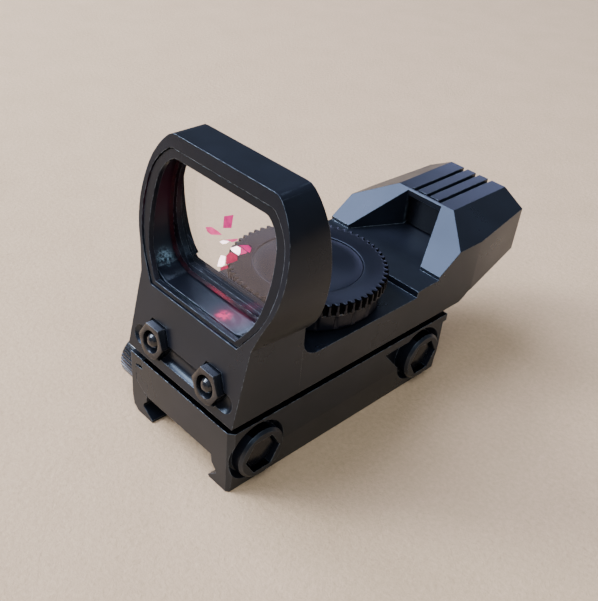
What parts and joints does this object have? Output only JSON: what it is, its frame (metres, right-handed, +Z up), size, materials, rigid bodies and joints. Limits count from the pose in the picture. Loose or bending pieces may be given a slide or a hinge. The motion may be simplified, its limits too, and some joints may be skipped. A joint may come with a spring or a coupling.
{
  "type": "red dot finder",
  "caption": "Open reflex finder: hooded window, toothed brightness dial with a battery under its cap, grooved emitter tower and a rail clamp with thumb nuts.",
  "frame": {"origin": "middle of the flat rail seat under the base", "axes": "+X to the right seen from the window side, +Y from the window back to the emitter tower, +Z up"},
  "size_m": [0.0402, 0.0856, 0.0564],
  "materials": {
    "anodised": "black satin anodised",
    "dial_metal": "black turned and anodised",
    "black_steel": "black oxide",
    "bright_steel": "plain",
    "contact_brass": "plain",
    "lead_film": "amber film",
    "gasket_rubber": "matt",
    "board": "solder mask",
    "chip_plastic": "moulded",
    "emitter_plastic": "moulded",
    "led_plastic": "clear red",
    "lens_glass": "coated"
  },
  "bodies": {
    "sight_body": {"housing": "anodised", "reflex_lens": "lens_glass", "lens_bezel": "anodised", "apron_boss_left": "black_steel", "apron_boss_right": "black_steel", "apron_screw_left": "black_steel", "apron_screw_right": "black_steel", "circuit_board": "board", "board_screw_front": "bright_steel", "board_screw_rear": "bright_steel", "driver_chip": "chip_plastic", "emitter_window": "lens_glass", "rear_cover": "anodised", "cover_screw_left": "black_steel", "cover_screw_right": "black_steel", "led_lead": "lead_film", "detent_spring": "bright_steel", "emitter_spring": "bright_steel", "base_mount": "anodised", "base_spacer": "gasket_rubber", "base_screw_front": "black_steel", "base_screw_rear": "black_steel", "clamp_bolt_front": "black_steel", "clamp_bolt_rear": "black_steel"},
    "dial": {"dial_knob": "dial_metal", "dial_retainer": "bright_steel", "dial_wiper": "contact_brass", "cell_contact": "contact_brass"},
    "battery_cap": {"battery_cap": "dial_metal"},
    "coin_cell": {"coin_cell": "bright_steel"},
    "detent_ball": {"detent_ball": "bright_steel"},
    "reticle_selector": {"reticle_lever": "anodised", "selector_shaft": "bright_steel", "reticle_plate": "bright_steel"},
    "emitter": {"emitter_tube": "emitter_plastic", "led": "led_plastic", "led_board": "board"},
    "windage_screw": {"windage_screw": "bright_steel"},
    "elevation_screw": {"elevation_screw": "bright_steel"},
    "jaw": {"clamp_jaw": "anodised"},
    "thumb_nut_front": {"thumb_nut_front": "black_steel"},
    "thumb_nut_rear": {"thumb_nut_rear": "black_steel"}
  },
  "joints": [
    {"name": "dial_turn", "type": "hinge", "parent": "sight_body", "child": "dial", "pos_m": [0, 0.002, 0.0171], "axis": [0, 0, 1], "range_deg": [0, 327.3]},
    {"name": "battery_cap_lift", "type": "slide", "parent": "dial", "child": "battery_cap", "axis": [0, 0, 1], "range_m": [0, 0.02]},
    {"name": "coin_cell_lift", "type": "slide", "parent": "dial", "child": "coin_cell", "axis": [0, 0, 1], "range_m": [0, 0.01]},
    {"name": "detent_press", "type": "slide", "parent": "sight_body", "child": "detent_ball", "axis": [0, 0, -1], "range_m": [0, 0.0005], "stiffness_N_per_m": 300, "deforming": ["detent_spring"]},
    {"name": "reticle_turn", "type": "hinge", "parent": "sight_body", "child": "reticle_selector", "pos_m": [0, 0.053, 0.0182], "axis": [0, 1, 0], "range_deg": [0, 90]},
    {"name": "windage_turn", "type": "hinge", "parent": "sight_body", "child": "windage_screw", "pos_m": [-0.012, 0.0456, 0.0208], "axis": [1, 0, 0], "range_deg": [-360, 360]},
    {"name": "elevation_turn", "type": "hinge", "parent": "sight_body", "child": "elevation_screw", "pos_m": [0.0032, 0.0456, 0.0136], "axis": [0, 0, 1], "range_deg": [-360, 360]},
    {"name": "emitter_swing", "type": "hinge", "parent": "sight_body", "child": "emitter", "pos_m": [0, 0.0416, 0.022], "axis": [0, 0, 1], "range_deg": [-0.8, 0.8]},
    {"name": "jaw_slide", "type": "slide", "parent": "sight_body", "child": "jaw", "axis": [-1, 0, 0], "range_m": [0, 0.0035]},
    {"name": "thumb_nut_front_turn", "type": "hinge", "parent": "jaw", "child": "thumb_nut_front", "pos_m": [-0.018, -0.0222, 0.0006], "axis": [-1, 0, 0], "range_deg": [0, 1575]},
    {"name": "thumb_nut_rear_turn", "type": "hinge", "parent": "jaw", "child": "thumb_nut_rear", "pos_m": [-0.018, 0.022, 0.0006], "axis": [-1, 0, 0], "range_deg": [0, 1575]}
  ],
  "couplings": [
    {"joint": "coin_cell_lift", "follows": "battery_cap_lift", "ratio": 0.5},
    {"joint": "emitter_swing", "follows": "windage_turn", "ratio": 0.0022222},
    {"joint": "thumb_nut_front_turn", "follows": "jaw_slide", "rad_per_m": 7854},
    {"joint": "thumb_nut_rear_turn", "follows": "jaw_slide", "rad_per_m": 7854}
  ]
}
